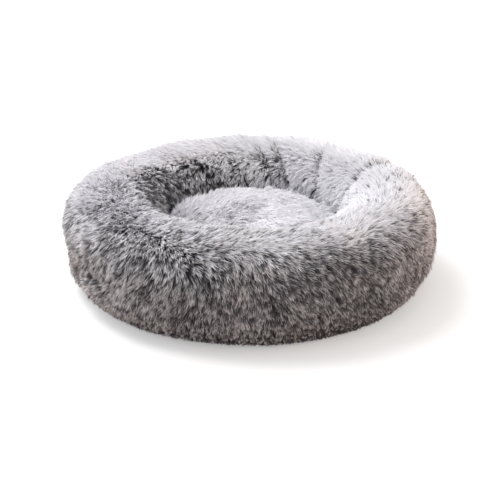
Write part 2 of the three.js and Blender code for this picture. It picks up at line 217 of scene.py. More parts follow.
# The ring's plush: one sleeve of knitted back, sewn to the pad's cover along the inner seam and hemmed
# beside the zip. Gathering it to the shorter inner seam makes the folds in its inner wall.
ring_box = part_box("ring_cover")
pad_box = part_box("pad_cover")
bed_radius = ring_box[1][0]
pad_radius = pad_box[1][0]
ring_middle = (bed_radius + pad_radius) / 2
ring_half_width = (bed_radius - pad_radius) / 2
ring_half_height = ring_box[1][2] / 2
ring_squareness = 2.7
pile_depth = 0.016
backing_thickness = 0.0025
backing_floor = 0.0004
inner_seam_along = math.radians(205)

zip_radius = 0.255
zip_height = 0.0105
zip_slope = math.radians(26.6)
zip_middle_turn = math.radians(90)
zip_half_turn = math.radians(78)
zip_close_turn = math.radians(6)
edge_from_zip = 0.0065
edge_meeting = 0.00025
tape_face = 0.0007  # from the zip's middle plane to the cloths on either side

hem_start = math.radians(-38)
hem_end = math.radians(-66)
hem_bend = (0.2705, 0.0145)
fold_turns = np.radians([14, 46, 71, 80.5, 98, 119, 143, 163, 202])
fold_depths = 0.0095 * np.array([0.8, 0.8, 0.95, 0.95, 0.3, 0.7, 0.7, 0.8, 0.5])
fold_width = math.radians(2.4)
fold_sharpness = 0.6  # the share of a fold's depth that is narrow; the rest is three times as wide
fold_shoulder = 3
fold_swing = 2.2  # the higher, the further down the inner wall a fold is deepest
fold_drift = 0.18  # how far a fold turns back for each radian that it runs down the inner wall
fold_level = math.radians(126)
swells = ((0.0026, 0.1, 1), (0.0016, 0.042, 2))  # each with its height, its size and its seed
fuller_side = 0.0055  # how much higher the ring is stuffed on one side
fuller_turn = math.radians(46)
fuller_from = 0.5  # the cosine of the turn from there at which the extra height ends
seam_hold = 0.5  # radians of the section over which the inner seam holds the back still

turn_count = 240
turns = np.linspace(0, 2 * np.pi, turn_count, endpoint=False)
cloth_turns = np.linspace(0, 2 * np.pi, 180, endpoint=False)
cloth_angles = np.linspace(hem_end, inner_seam_along, 52)
cloth_spare = 0.05
cloth_pressure = 4.0
settling_frames = 20
ring_puff_cap = 0.009
ring_puff = np.zeros((len(cloth_turns), len(cloth_angles)))

root_colour = (0.084, 0.08, 0.089)
back_colours = ((0.05, 0.045, 0.05), (0.13, 0.12, 0.13))
noise_cells = 32
small_turn = 1e-3
next_to_nothing = 1e-9


def soft_noise(points, *waves):
    """The sum of waves of smooth noise, each with a strength, a size and a seed: random values from -1 to 1
    on a lattice of cubes of that size, blended between corners, times the strength."""
    total = 0
    for strength, size, seed in waves:
        values = np.random.default_rng(seed).uniform(-1, 1, (noise_cells, noise_cells, noise_cells))
        scaled = points / size
        cells = np.floor(scaled).astype(int)
        part = scaled - cells
        part = part * part * (3 - 2 * part)
        wave = np.zeros(points.shape[:-1])
        for corner in np.ndindex(2, 2, 2):
            weight = np.prod(np.where(corner, part, 1 - part), axis=-1)
            place = (cells + corner) % noise_cells
            wave += weight * values[place[..., 0], place[..., 1], place[..., 2]]
        total = total + strength * wave
    return total


def superellipse(angle, squareness):
    """Cosine and sine bent by a power, so that the curve through them is squarer than a circle."""
    curve = np.stack([np.cos(angle), np.sin(angle)])
    return np.sign(curve) * np.abs(curve) ** (2 / squareness)


def on_turn(turn, radius, height):
    """Points at a turn round the bed, from their distance to its axis and their height."""
    turn, radius, height = np.broadcast_arrays(turn, radius, height)
    return np.stack([radius * np.cos(turn), radius * np.sin(turn), height], axis=-1)


def turn_between(turn, other):
    """The angle between two turns, whichever way round is shorter."""
    return np.abs((turn - other + np.pi) % (2 * np.pi) - np.pi)


def ramp(value, start, end):
    """0 before the start, 1 past the end, and a smooth rise between them."""
    share = np.clip((value - start) / (end - start), 0, 1)
    return share * share * (3 - 2 * share)


def unit(vectors):
    """Vectors of length 1 in the same directions."""
    return vectors / np.maximum(np.linalg.norm(vectors, axis=-1, keepdims=True), next_to_nothing)


def zip_point(out, down):
    """Radius and height near the zip, which lies on a cone: out is up the cone, and down is square to it."""
    radius = zip_radius + out * math.cos(zip_slope) + down * math.sin(zip_slope)
    return radius, zip_height + out * math.sin(zip_slope) - down * math.cos(zip_slope)


def edge_out(turn):
    """How far a cloth edge stays from the zip's middle: open along the zip, and met beyond its ends."""
    beyond = (turn_between(turn, zip_middle_turn) - zip_half_turn) / zip_close_turn
    return edge_from_zip + (edge_meeting - edge_from_zip) * np.clip(beyond, 0, 1)


def ring_section(turn, along):
    """Radius and height of the knitted back: a superellipse round the ring's middle from the hem's start,
    over the crest, to the inner seam, and a parabola through three points down to the hem's edge."""
    across, up = superellipse(np.maximum(along, hem_start), ring_squareness)
    reach = np.where(up > 0, ring_half_height - pile_depth, ring_half_height - backing_floor)
    start = (ring_middle + (ring_half_width - pile_depth) * across, ring_half_height + reach * up)
    edge = zip_point(edge_out(turn), tape_face + backing_thickness)
    share = np.clip((hem_start - along) / (hem_start - hem_end), 0, 1)
    return [
        (1 - share) ** 2 * start[i] + 2 * share * (1 - share) * hem_bend[i] + share**2 * edge[i]
        for i in range(2)
    ]


def past_folds(turn, along):
    """How far round the bed a place is past each fold, from half a turn before it to half a turn after."""
    past = turn[..., None] + fold_drift * (along[..., None] - fold_level) - fold_turns
    return (past + np.pi) % (2 * np.pi) - np.pi


def sampled(grid, turn, along, angles):
    """Values of a grid (evenly spaced turns, those angles) between its points."""
    rows, columns = grid.shape
    at_row = (turn / (2 * np.pi) % 1) * rows
    at_column = np.interp(along, angles, np.arange(columns))
    row, column = np.floor(at_row).astype(int), np.floor(at_column).astype(int)
    row_share, column_share = at_row - row, at_column - column
    next_row, next_column = (row + 1) % rows, np.minimum(column + 1, columns - 1)
    row = row % rows
    near = grid[row, column] * (1 - column_share) + grid[row, next_column] * column_share
    far = grid[next_row, column] * (1 - column_share) + grid[next_row, next_column] * column_share
    return near * (1 - row_share) + far * row_share


def ring_point(turn, along, out=0.0, section=ring_section):
    """A point at a turn round the bed and an angle along the ring's section, that far outside the knitted
    back. Folds press the back in, and slow swells and the stuffing's own pressure push it out."""
    before, after = section(turn, along - small_turn), section(turn, along + small_turn)
    climb = np.array([after[0] - before[0], after[1] - before[1]])
    climb /= np.maximum(np.hypot(climb[0], climb[1]), next_to_nothing)
    radius, height = section(turn, along)
    held = ramp(along, hem_start, 0) * ramp(-along, -inner_seam_along, -inner_seam_along + seam_hold)
    inward = np.clip(along / inner_seam_along, 0, 1)
    share = (past_folds(turn, along) / fold_width) ** 2
    narrow, wide = np.exp(-share), np.exp(-share / fold_shoulder**2)
    fold = (fold_depths * (fold_sharpness * narrow + (1 - fold_sharpness) * wide)).sum(-1)
    fold = fold * np.sin(np.pi * inward**fold_swing)
    upper = np.maximum(np.sin(along), 0) ** 2
    swell = soft_noise(on_turn(turn, radius, height), *swells)
    swell = swell + fuller_side * ramp(np.cos(turn - fuller_turn), fuller_from, 1) * upper
    move = out - fold + swell * held + sampled(ring_puff, turn, along, cloth_angles) * held
    return on_turn(turn, radius + climb[1] * move, height - climb[0] * move)


def strips(numbers):
    """The four-sided faces between neighbours on a grid of point numbers whose last turn joins the first."""
    ahead = np.roll(numbers, -1, axis=0)
    return np.stack([numbers[:, :-1], ahead[:, :-1], ahead[:, 1:], numbers[:, 1:]], axis=-1)


def closed_sweep(name, loops, inner=None, whole=True):
    """A closed tube from an array (turns, points of the section, 3), or a closed sheet from its outer and
    its inner face. The section's ends join. The last turn joins the first, or else both ends get caps from
    one half of the section to the other."""
    if inner is not None:
        loops = np.concatenate([loops, inner[:, ::-1]], axis=1)
    turns, count = loops.shape[:2]
    numbers = np.arange(turns * count).reshape(turns, count)
    quads = strips(np.concatenate([numbers, numbers[:, :1]], axis=1))
    if whole:
        return mesh_piece(name, loops.reshape(-1, 3), quads=quads.reshape(-1, 4))
    there = np.arange(count // 2 - 1)
    first = np.stack([there, there + 1, count - 2 - there, count - 1 - there], axis=-1)
    caps = np.concatenate([first, first[:, ::-1] + (turns - 1) * count])
    quads = np.concatenate([quads[:-1].reshape(-1, 4), caps])
    return mesh_piece(name, loops.reshape(-1, 3), quads=quads)


def grid_of(turns, angles):
    """Every turn with every angle, as two arrays, turns first."""
    return np.meshgrid(turns, angles, indexing="ij")


def blown_out(points, pinned_rows, cap):
    """How far each point of a cloth grid (turns, rows, 3) moves outwards when it is blown up: the cloth is
    cut a little too large, its pinned rows stay, and no point moves further than the cap."""
    numbers = np.arange(points.shape[0] * points.shape[1]).reshape(points.shape[:2])
    cloth = mesh_piece("cloth_under_pressure", points.reshape(-1, 3), quads=strips(numbers).reshape(-1, 4))
    pins = cloth.vertex_groups.new(name="pinned")
    pins.add([int(i) for i in numbers[:, pinned_rows].ravel()], 1.0, "REPLACE")
    modifier = cloth.modifiers.new("cloth", "CLOTH")
    given(
        modifier.settings,
        quality=5,
        use_pressure=True,
        uniform_pressure_force=cloth_pressure,
        shrink_min=-cloth_spare,
        vertex_group_mass=pins.name,
    )
    modifier.settings.effector_weights.gravity = 0
    modifier.collision_settings.use_collision = False
    modifier.point_cache.frame_end = settling_frames
    for tick in range(1, settling_frames + 1):
        bpy.context.scene.frame_set(tick)
    blown = cloth.evaluated_get(bpy.context.evaluated_depsgraph_get()).data
    settled = np.zeros(len(blown.vertices) * 3, np.float32)
    blown.vertices.foreach_get("co", settled)
    settled = settled.reshape(points.shape)
    bpy.data.objects.remove(cloth)
    bpy.context.scene.frame_set(1)
    across = np.roll(points, -1, axis=0) - np.roll(points, 1, axis=0)
    outwards = unit(np.cross(across, np.gradient(points, axis=1)))
    return np.clip(((settled - points) * outwards).sum(-1), -cap, cap)


def object_noise(tree, scale, detail=4.0):
    """The output of a noise node on Object coordinates, with that many waves to the metre."""
    return new_node(tree, "TexNoise", object_place(tree), Scale=scale, Detail=detail).outputs[0]


def speckled(scale, detail=4.0):
    """A pattern of plain noise, with that many waves to the metre."""
    return partial(object_noise, scale=scale, detail=detail)


def cloth_material(name, pattern, low, high, depth, roughness, **sockets):
    """A material whose colour and whose bumps, of that depth in metres, both follow a pattern of 0 to 1."""
    material, tree, shader = new_material(name, high, roughness, **sockets)
    height = pattern(tree)
    bump = new_node(tree, "Bump", Strength=1.0, Distance=depth, Height=height)
    wired(tree, shader, Base_Color=mixed_colour(tree, height, low, high), Normal=bump.outputs[0])
    return material


def sewn_in(piece, material, node, body="bed"):
    """Gives a piece its material and its body, and hides the CAD node that it stands for."""
    piece.data.materials.append(material)
    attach(piece, body)
    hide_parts(node)


ring_puff = blown_out(ring_point(*grid_of(cloth_turns, cloth_angles)), [0, 1, -2, -1], ring_puff_cap)
ring_puff -= ring_puff.mean(axis=0)

sleeve_grid = grid_of(turns, np.linspace(hem_end, inner_seam_along, 76))
sleeve_faces = [ring_point(*sleeve_grid, out) for out in (0.0, -backing_thickness)]
ring_plush = closed_sweep("ring_plush", *sleeve_faces)
knitted_back = cloth_material(
    "knitted_back", speckled(900), *back_colours, depth=0.0006, roughness=0.95, Sheen_Weight=0.2
)
sewn_in(ring_plush, knitted_back, "ring_cover")


# The ring's pile: long soft hair, dyed dark at the root and left pale at the tip. Wear draws it into
# pointed locks. It hangs down both walls, fans out over the front, and lies along the ring on its crest.
pile_length = 0.0255
lock_size = 0.0037
lock_stretch = 2.0  # how much longer locks are up and down a wall than round it
lock_turn = 0.9  # how far apart locks may point, and how much a hair in a lock turns aside
hair_turn = 0.12
lock_draw = 0.8  # how far a tip is drawn to the middle of its lock, and the belly of the hair
belly_draw = 0.28
belly_rise = 0.6  # the belly's share of the tip's rise, of its reach over and of its straying
belly_reach = 0.36
belly_stray = 0.4
least_lean = 0.72
most_lean = 0.975
stray_share = 0.045
shortest_lock = 0.84  # of the pile's length, and how much longer the longest is
lock_length_spread = 0.3
hair_lengths = (0.86, 1.08)  # of its lock's length
root_depth = 0.001
off_parallel = 0.01  # added to a normal, so that no hair is parallel to it
hair_width = 0.0017
hair_widths = (0.7, 1.3)  # of that
lowest_tip = 0.0015
highest_tip = 0.1815
uneven_tips = 0.002
hair_tone_spread = 0.07
map_face_width = 0.01  # so that no face is without area on the map
darkest = 0.02
ring_hair_count = 185000
hairs_in_piece = 33000
pile_end_along = math.radians(172)
bare_hem = 0.02  # radians of the section beside the hem's edge
even_steps = np.array([0.7548776662, 0.5698402910])
hem_length = (0.42, 0.58)  # the share of its length that hair keeps at the hem, and the rest
long_from = (0.1, 0.38)  # the angle from which hair is long, and how much lower that is at the sides
inner_shorter = 0.22
over_fold = 0.005  # how far hair may reach over a fold
upper_span = (0.4, 1.3)  # the angles along the section between which each part of the pile begins
inner_span = (1.5, 2.2)
folded_span = (1.4, 2.0)
backward_lean = 0.55  # of the hair on both walls, away from the front
crest_lean = 0.9  # round the ring
downward_lean = 0.85
whole_lean = 0.9  # of all these together
dye_paleness = (0.45, 0.68, 0.9)  # at which the root's, the middle's and the tip's colour stand
middle_colour = (0.197, 0.189, 0.207)
tip_colour = (0.945, 0.937, 0.966)
# The pile's tone half way up the outer wall, and how much paler it gets with height, over the crest and
# inner wall, and on the inner wall alone: partly the pale tips that show where the hair lies flatter, partly
# painted light from above. Then the same for those two and the whole on the right side, and as much the
# other way on the left: painted light and shade, the right inner wall, facing the window, painted paler,
# and the left one, in its shade, painted darker.
ring_tone = 0.24
height_paler = 0.06
upper_paler = 0.28
inner_paler = -0.05
right_upper_paler = 0.05
right_inner_paler = 0.36
right_paler = -0.04
# Painted light and shade, partly nap: how much paler the pile is where the bed faces a turn, on its outer
# wall, crest or inner wall.
facing_light_and_shade = [
    ("outer", math.pi + 0.5, 0.07),
    ("outer", -0.9, -0.05),
    ("upper", -math.pi / 2, -0.1),
    ("crest", math.pi, 0.1),
    ("crest", math.pi / 2, 0.16),
    ("crest", math.pi / 2 + 0.4, 0.2),
    ("inner", math.pi / 2, 0.05),
]
# Patches where the pile is paler or darker: partly nap, brushed up, pale, or down, dark, and partly painted
# light and shade, such as the dark patches in folds and hollows. Each has the middle's turn and angle along
# the section, the reach each way, all in degrees, and how much paler.
brushed_and_shaded_patches = [
    (122, 112, 28, 12, 0.22),
    (190, 108, 26, 15, 0.25),
    (213, 64, 15, 10, -0.2),
    (118, 160, 18, 12, -0.15),
    (2, 138, 17, 15, -0.2),
    (276, 74, 10, 9, 0.2),
    (48, 158, 5, 12, -0.3),
    (311, 88, 17, 14, 0.2),
    (315, 15, 18, 20, 0.1),
    (201, 12, 12, 22, -0.12),
    (340, 8, 12, 22, 0.1),
]
# Painted shade in the folds: how much darker the pile is painted along each, and the shaded band's width.
crease_shade = 0.36
crease_width = 0.8  # of a fold's
lock_contrast = 0.54
smoother_side = 0.3  # how much less the locks differ on the side that the warm wall faces
smoother_turn = -0.5


def nearest_lock(points, size, seed):
    """For each point, the nearest of the spots strewn one to each cube of that size, and its own numbers."""
    spots = np.random.default_rng(seed).random((noise_cells, noise_cells, noise_cells, 6))
    cells = np.floor(points / size).astype(int)
    nearest = np.full(len(points), np.inf)
    centres = np.zeros((len(points), 3))
    own = np.zeros((len(points), 3))
    for step in np.ndindex(3, 3, 3):
        there = cells + step - 1
        spot = spots[tuple((there % noise_cells).T)]
        centre = (there + spot[:, :3]) * size
        away = ((centre - points) ** 2).sum(1)
        nearer = away < nearest
        nearest[nearer] = away[nearer]
        centres[nearer] = centre[nearer]
        own[nearer] = spot[nearer, 3:]
    return centres, own


def turned(vectors, normals, angle):
    """Vectors turned about the normals that they are square to."""
    return vectors * np.cos(angle)[:, None] + np.cross(normals, vectors) * np.sin(angle)[:, None]


def flattened(vectors, normals):
    """Vectors without the part that runs along the normals."""
    return vectors - (vectors * normals).sum(1, keepdims=True) * normals


def hairs(name, roots, normals, lean, length, tone, seed, palest=0.9, contrast=lock_contrast):
    """Each hair is a closed spindle of three sides: it rises off the cloth, bends over towards its lean,
    and ends in a tip that is drawn towards the middle of its lock. The contrast is how much locks differ."""
    rng = np.random.default_rng(seed)
    count = len(roots)
    centres, own = nearest_lock(roots * [1, 1, 1 / lock_stretch], lock_size, seed + 1)
    to_lock = flattened(centres * [1, 1, lock_stretch] - roots, normals)
    flat = np.clip(np.linalg.norm(lean, axis=1, keepdims=True), least_lean, most_lean)
    way = turned(unit(lean), normals, (own[:, 0] - 0.5) * lock_turn + rng.normal(0, hair_turn, count))
    lock_length = length * (shortest_lock + lock_length_spread * own[:, 1])
    reach = (lock_length * rng.uniform(*hair_lengths, count))[:, None]
    rise = reach * np.sqrt(1 - flat**2)
    over = reach * flat
    stray = rng.normal(0, 1, (count, 3)) * (stray_share * reach)
    belly = roots + normals * rise * belly_rise + way * over * belly_reach
    belly = belly + to_lock * belly_draw + stray * belly_stray
    tip = roots + normals * rise + way * over + to_lock * lock_draw + stray
    uneven = uneven_tips * own[:, 1]
    tip[:, 2] = np.clip(tip[:, 2], lowest_tip + uneven, highest_tip - uneven)
    root = roots - normals * root_depth
    onward = unit(tip - root)
    side = unit(np.cross(onward, normals + off_parallel))
    other = np.cross(onward, side)
    first = rng.uniform(0, 2 * np.pi, count)
    half = (hair_width / 2 * rng.uniform(*hair_widths, count))[:, None]
    around = [first + corner * 2 * np.pi / 3 for corner in range(3)]
    ring = [belly + half * (np.cos(at)[:, None] * side + np.sin(at)[:, None] * other) for at in around]
    points = np.stack([root, *ring, tip], axis=1)
    pattern = np.array([[0, 2, 1], [0, 3, 2], [0, 1, 3], [1, 2, 4], [2, 3, 4], [3, 1, 4]])
    heights = np.array([0, 0.5, 0.5, 0.5, 1])
    own_tone = (own[:, 2] - 0.5) * contrast + rng.normal(0, hair_tone_spread, count)
    tone = np.clip(tone + own_tone, darkest, palest)
    pieces = []
    for start in range(0, count, hairs_in_piece):
        part = points[start : start + hairs_in_piece]
        faces = (pattern[None] + points.shape[1] * np.arange(len(part))[:, None, None]).reshape(-1, 3)
        piece = mesh_piece(f"{name}_{len(pieces) + 1}", part.reshape(-1, 3), triangles=faces, smooth=False)
        across = tone[start : start + hairs_in_piece, None, None] + map_face_width * np.array([0, 0.5, 1])
        across = np.broadcast_to(across, (len(part), len(pattern), 3))
        up = np.broadcast_to(heights[pattern][None], across.shape)
        cloth_map = piece.data.uv_layers.new(name="OFBake")
        cloth_map.uv.foreach_set("vector", np.stack([across, up], axis=-1).astype(np.float32).ravel())
        pieces.append(piece)
    return pieces


def even_places(count, seed, angles, section):
    """Turns and angles of evenly strewn places, by steps of two powers of the plastic number: the further a
    strip of the section is from the axis, the more of them it gets. They come in order of their turns."""
    radius, height = section(np.zeros(len(angles)), angles)
    strip = np.hypot(np.diff(radius), np.diff(height)) * (radius[1:] + radius[:-1])
    area_share = np.concatenate([[0], np.cumsum(strip)]) / strip.sum()
    places = (np.arange(count)[:, None] * even_steps + np.random.default_rng(seed).random(2)) % 1
    order = np.argsort(places[:, 0])
    return places[order, 0] * 2 * np.pi, np.interp(places[order, 1], area_share, angles)


def surface_frame(place, turn, along):
    """Place, outward normal, and unit vectors round the bed and along the section, by small steps."""
    here = place(turn, along)
    round_bed = unit(place(turn + small_turn, along) - here)
    over = unit(place(turn, along + small_turn) - here)
    return here, unit(np.cross(round_bed, over)), round_bed, over


def facing(turn, middle):
    """1 where the bed faces that turn, and less to either side, down to 0 at a quarter turn."""
    return np.maximum(np.cos(turn - middle), 0)


strewn_angles = np.linspace(hem_end + bare_hem, pile_end_along, 400)
hair_turns, hair_angles = even_places(ring_hair_count, 11, strewn_angles, ring_section)
roots, normals, round_bed, over_ring = surface_frame(ring_point, hair_turns, hair_angles)
on_top = np.abs(np.sin(hair_angles)) * (hair_angles > 0)
sideways = (1 - on_top) * backward_lean * np.cos(hair_turns) + crest_lean * on_top
sideways = sideways + soft_noise(roots, (0.12, 0.12, 20))
downward = downward_lean * np.cos(hair_angles)
lean = sideways[:, None] * round_bed - downward[:, None] * over_ring
lean = turned(lean, normals, soft_noise(roots, (0.5, 0.07, 21), (0.28, 0.026, 22)))
lean *= (whole_lean + soft_noise(roots, (0.2, 0.045, 23)))[:, None]

upper, inner = ramp(hair_angles, *upper_span), ramp(hair_angles, *inner_span)
parts = {"outer": 1 - upper, "upper": upper, "crest": upper * (1 - inner), "inner": inner}
hem_share = ramp(hair_angles, hem_start, long_from[0] - long_from[1] * np.cos(hair_turns) ** 2)
length = pile_length * (hem_length[0] + hem_length[1] * hem_share)
length = length * (1 + soft_noise(roots, (0.12, 0.05, 24))) * (1 - inner_shorter * inner)
past = past_folds(hair_turns, hair_angles)
to_fold = np.where(past < 0, -past, np.pi).min(1) * np.hypot(roots[:, 0], roots[:, 1])
in_folds = ramp(hair_angles, *folded_span)
length -= in_folds * np.maximum(length - to_fold - over_fold, 0)

# The pile's tone: its own, plus light and shade painted onto it by height, by side, by facing, in folds and
# in patches.
tone = ring_tone + height_paler * np.sin(hair_angles) + upper_paler * upper + inner_paler * inner
tone += np.cos(hair_turns) * (right_upper_paler * upper + right_inner_paler * inner + right_paler)
tone += soft_noise(roots, (0.07, 0.06, 25), (0.03, 0.02, 26)) + inner * soft_noise(roots, (0.12, 0.011, 27))
# Light and shade painted onto the pile by the way each part of the ring faces.
for part, middle, paler in facing_light_and_shade:
    tone += paler * parts[part] * facing(hair_turns, middle)
# Painted shade: the pile is darkened along each fold, most at the deepest, where the fold's hollow lies in
# shadow.
painted_fold_shade = (np.exp(-((past / (crease_width * fold_width)) ** 2)) * fold_depths / fold_depths.max()).max(1)
tone -= crease_shade * painted_fold_shade * in_folds
# Patches of brushed nap and of painted light and shade.
for *patch, paler in brushed_and_shaded_patches:
    turn, along, turn_reach, along_reach = np.radians(patch)
    away = (turn_between(hair_turns, turn) / turn_reach) ** 2 + ((hair_angles - along) / along_reach) ** 2
    tone += paler * np.exp(-away)
contrast = lock_contrast - smoother_side * parts["outer"] * facing(hair_turns, smoother_turn)
ring_pile = hairs("ring_pile", roots, normals, lean, length, tone, 31, contrast=contrast)


def pile_material(name):
    """The map's second number is the height up the hair, from the dark root to the pale tip. Its first is
    the hair's tone, its own together with the light and shade painted onto the pile: the higher that is, the
    lower down the hair the pale tip begins. The paleness is the tone, plus 0.45 times the height, plus 0.4
    times its sixth power."""
    material, tree, shader = new_material(name, roughness=0.8, Specular_IOR_Level=0.1)
    cloth_map = given(new_node(tree, "UVMap"), uv_map="OFBake").outputs[0]
    split = new_node(tree, "SeparateXYZ", cloth_map).outputs
    paleness = worked_out(tree, "MULTIPLY_ADD", split["Y"], 0.45, split["X"])
    tip_share = worked_out(tree, "POWER", split["Y"], 6)
    dye = new_node(tree, "ValToRGB", worked_out(tree, "MULTIPLY_ADD", tip_share, 0.4, paleness))
    stops = dye.color_ramp.elements
    stops.new(dye_paleness[1])
    for stop, place, colour in zip(stops, dye_paleness, (root_colour, middle_colour, tip_colour)):
        given(stop, position=place, color=(*colour, 1))
    wired(tree, shader, Base_Color=dye.outputs[0])
    return material


frosted = pile_material("frosted_pile")
for piece in ring_pile:
    sewn_in(piece, frosted, "ring_cover")


# The pad's plush: a round panel of the same cloth, domed over a filling of its own and drawn down at the
# rim, where it is sewn in with the ring.
pad_crown = pad_box[1][2]
pad_base = ring_half_height
pad_seam_height = pad_box[0][2]
pad_draw_in = 0.005
pad_squareness = 5.0
pad_seam_along = math.radians(-60)
pad_middle_along = math.pi / 2 - 1e-6  # just short of the axis
pad_lumps = (0.0045, 0.075, 41)
pad_puff_cap = 0.006
pad_rim_reach = 0.35  # the angle up the dome from which its lumps lift it straight up
pad_turns = turns[::2]


def pad_section(turn, along, inset=pile_depth):
    """Radius and height of a layer that far inside the pad's tips: a superellipse from the middle to the
    rim, then a wall down to the seam, drawn in a little."""
    across, up = superellipse(np.clip(along, 0, pad_middle_along), pad_squareness)
    wall = np.clip(along / pad_seam_along, 0, 1)
    radius = (pad_radius - inset) * across - pad_draw_in * wall
    return radius, pad_base + (pad_crown - pad_base - inset) * up - (pad_base - pad_seam_height) * wall


def pad_point(turn, along, out=0.0, inset=pile_depth):
    """A point at a turn and an angle up the pad's dome, that far outside a layer, which is by default the
    knitted back. The filling's lumps and its pressure lift every layer alike."""
    radius, height = pad_section(turn, along, inset)
    upright = ramp(along, 0.0, pad_rim_reach)
    lumpy = soft_noise(on_turn(turn, radius, 0.0), pad_lumps)
    lift = lumpy + sampled(pad_puff, turn, along, pad_cloth_angles)
    move = out + lift * upright
    return on_turn(turn, radius + move * (1 - upright), height + move * upright)


def closed_dome(name, top, under):
    """A closed body from two arrays (turns, points from the rim to the axis, 3), which join at their rims
    and end in a point each on the axis."""
    poles = np.stack([top[:, -1].mean(0), under[:, -1].mean(0)])
    sheet = np.concatenate([under[:, ::-1][:, 1:], top[:, :-1]], axis=1)
    turns, rows = sheet.shape[:2]
    here = np.arange(turns * rows).reshape(turns, rows)
    ahead = np.roll(here, -1, axis=0)
    top_pole, under_pole = turns * rows, turns * rows + 1
    top_fan = np.stack([here[:, -1], ahead[:, -1], np.full(turns, top_pole)], axis=-1)
    under_fan = np.stack([ahead[:, 0], here[:, 0], np.full(turns, under_pole)], axis=-1)
    fans = np.concatenate([top_fan, under_fan])
    points = np.concatenate([sheet.reshape(-1, 3), poles])
    return mesh_piece(name, points, quads=strips(here).reshape(-1, 4), triangles=fans)


def dome_steps(count):
    """Angles up the pad's dome, from the rim to the middle, that step evenly across it and up its rim."""
    shares = np.linspace(0, 1, count)[1:-1] ** (pad_squareness / 2)
    return np.sort(np.concatenate([[0], np.arccos(shares), np.arcsin(shares), [np.pi / 2]]))


pad_cloth_angles = np.concatenate([np.linspace(pad_seam_along, 0, 5)[:-1], dome_steps(26)[:-1]])
pad_puff = np.zeros((len(cloth_turns) // 2, len(pad_cloth_angles)))
pad_puff = blown_out(pad_point(*grid_of(cloth_turns[::2], pad_cloth_angles)), [0, 1], pad_puff_cap)
pad_puff -= pad_puff.mean()

dome_angles = np.concatenate([np.linspace(pad_seam_along, 0, 10)[:-1], dome_steps(30)])
dome_grid = grid_of(pad_turns, dome_angles)
pad_plush = closed_dome("pad_plush", pad_point(*dome_grid), pad_point(*dome_grid, -backing_thickness))
sewn_in(pad_plush, knitted_back, "pad_cover")


# The pad's pile: the same hair, brushed flat to one side and towards the front. The cat's weight keeps it
# flatter than the ring's, so more of its pale tips show.
pad_hair_count = 38000
brushed_way = (0.75, -0.3, 0)
outward_way = 0.15
pad_lean = 1.12
pad_pile_share = 0.86  # of the ring's pile's length
pad_tone = 0.82
# Painted light and shade: the pad's pile is painted paler at the back, towards the window, and darker at the
# front.
pad_back_paler = 0.16  # at the back of the pad, and as much darker at its front
pad_shade_reach = 0.06

hair_turns, hair_angles = even_places(pad_hair_count, 12, dome_steps(400)[1:], pad_section)
roots, normals, *_ = surface_frame(pad_point, hair_turns, hair_angles)
lean = flattened(np.array(brushed_way) + outward_way * unit(roots * [1, 1, 0]), normals)
lean = turned(lean, normals, soft_noise(roots, (0.8, 0.06, 51), (0.6, 0.02, 52)))
lean *= (pad_lean + soft_noise(roots, (0.1, 0.02, 55)))[:, None]
length = pile_length * (pad_pile_share + soft_noise(roots, (0.12, 0.03, 53)))
tone = pad_tone + soft_noise(roots, (0.12, 0.05, 54), (0.14, 0.014, 56))
# Painted light at the back of the pad and painted shade at its front.
tone += pad_back_paler * np.clip(roots[:, 1] / pad_shade_reach, -1, 1)
for piece in hairs("pad_pile", roots, normals, lean, length, tone, 61, palest=0.97):
    sewn_in(piece, frosted, "pad_cover")


# The ring's inner bag: one strip of white nonwoven that follows the plush into its folds. Its long seam
# lies underneath, and it keeps clear of the zip.
liner_thickness = 0.0008
layer_gap = 0.0005
liner_floor = 0.0034
liner_over_zip = 0.0046
bag_inset = pile_depth + backing_thickness + layer_gap
bag_seam_along = math.radians(250)
bag_seam_gap = math.radians(0.3)
bonded_spots = 520  # to the metre, as are all counts of a pattern
bonded_fibres = 1500
liner_colours = ((0.6, 0.6, 0.57), (0.83, 0.83, 0.8))


def bag_section(turn, along, depth=0.0):
    """Radius and height of the bag: a superellipse round the ring's middle, flat underneath and lifted
    over the zip's cone, that depth inside the bag's outside."""
    across, up = superellipse(along, ring_squareness)
    reach = ring_half_height - np.where(up > 0, bag_inset, liner_floor) - depth
    radius = ring_middle + (ring_half_width - bag_inset - depth) * across
    over_zip = (liner_over_zip + depth) / math.cos(zip_slope) + (radius - zip_radius) * math.tan(zip_slope)
    return [radius, np.maximum(ring_half_height + reach * up, zip_height + over_zip)]


def bonded_fibre(tree):
    """Fine fibre pressed together in round spots: noise plus the capped distance from Voronoi centres."""
    spots = new_node(tree, "TexVoronoi", object_place(tree), Scale=bonded_spots, Randomness=0.25).outputs[0]
    raised = worked_out(tree, "SMOOTH_MIN", worked_out(tree, "MULTIPLY", spots, 2.4), 0.8, 0.2)
    fibres = worked_out(tree, "MULTIPLY", object_noise(tree, bonded_fibres, 6), 0.5)
    return worked_out(tree, "MULTIPLY_ADD", raised, 0.7, fibres)


bag_angles = np.linspace(bag_seam_along - 2 * np.pi + bag_seam_gap, bag_seam_along - bag_seam_gap, 66)
bag_faces = [
    ring_point(*grid_of(turns, bag_angles), section=partial(bag_section, depth=depth))
    for depth in (0.0, liner_thickness)
]
nonwoven = cloth_material("nonwoven", bonded_fibre, *liner_colours, depth=0.0002, roughness=0.85)
sewn_in(closed_sweep("ring_inner_bag", *bag_faces), nonwoven, "ring_liner")


# The ring's filling: loose siliconised polyester, packed tight against the bag, so it is lumpy but full.
# It is blown in by the handful through the bag's long seam.
fibre_lump_depth = 0.0012
fibre_crimps = 170
fibre_tufts = 90
fibre_colours = ((0.72, 0.72, 0.69), (0.93, 0.93, 0.9))


